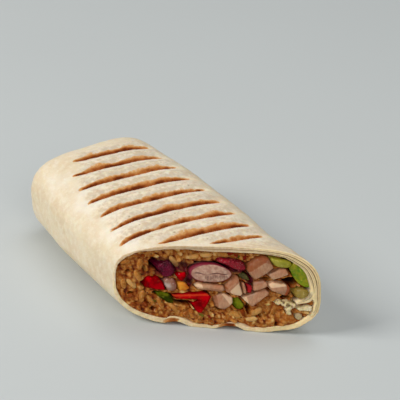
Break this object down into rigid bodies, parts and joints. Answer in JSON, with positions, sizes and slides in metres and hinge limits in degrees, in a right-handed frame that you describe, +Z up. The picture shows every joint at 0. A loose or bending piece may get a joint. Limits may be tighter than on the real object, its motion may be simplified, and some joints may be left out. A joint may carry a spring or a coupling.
{
  "type": "burrito half",
  "caption": "Half of a grilled burrito cut on the bias: ribbed wheat tortilla round rice, chicken, bean and cut vegetables, lying flat with its filling showing.",
  "frame": {"origin": "middle of the burrito's box on the surface that it lies on", "axes": "+X along the roll from its folded end to the cut, +Y across the roll towards its overlapping layers, +Z up"},
  "size_m": [0.1416, 0.064, 0.0361],
  "materials": {
    "tortilla": "dry wheat tortilla, pale cream with browned grill marks",
    "rice": "cooked rice browned by spices, oily",
    "bean": "cut kidney bean, pinkish inside with a maroon skin",
    "chicken": "diced roast chicken, browned at the edges",
    "red_pepper": "cut sweet pepper, wet and glossy",
    "yellow_pepper": "cut sweet pepper, orange yellow, wet",
    "green_pepper": "cut green pepper, wet and glossy",
    "red_cabbage": "shredded red cabbage, wet",
    "onion": "cooked onion, translucent",
    "lettuce": "lettuce leaf, fresh green",
    "white_cabbage": "shredded white cabbage, pale and translucent",
    "herb": "cooked herb leaf, brownish green",
    "tomato": "scrap of tomato, wet"
  },
  "bodies": {
    "root": {"tortilla": "tortilla", "rice": "rice", "kidney_bean": "bean", "chicken_1": "chicken", "chicken_2": "chicken", "chicken_3": "chicken", "chicken_4": "chicken", "chicken_5": "chicken", "chicken_6": "chicken", "chicken_7": "chicken", "chicken_8": "chicken", "chicken_9": "chicken", "red_pepper_1": "red_pepper", "red_pepper_2": "red_pepper", "red_pepper_3": "red_pepper", "yellow_pepper": "yellow_pepper", "green_pepper_1": "green_pepper", "green_pepper_2": "green_pepper", "red_cabbage_1": "red_cabbage", "red_cabbage_2": "red_cabbage", "onion_1": "onion", "onion_2": "onion", "lettuce_1": "lettuce", "lettuce_2": "lettuce", "white_cabbage_1": "white_cabbage", "white_cabbage_2": "white_cabbage", "white_cabbage_3": "white_cabbage", "herb": "herb", "tomato": "tomato"}
  },
  "joints": []
}
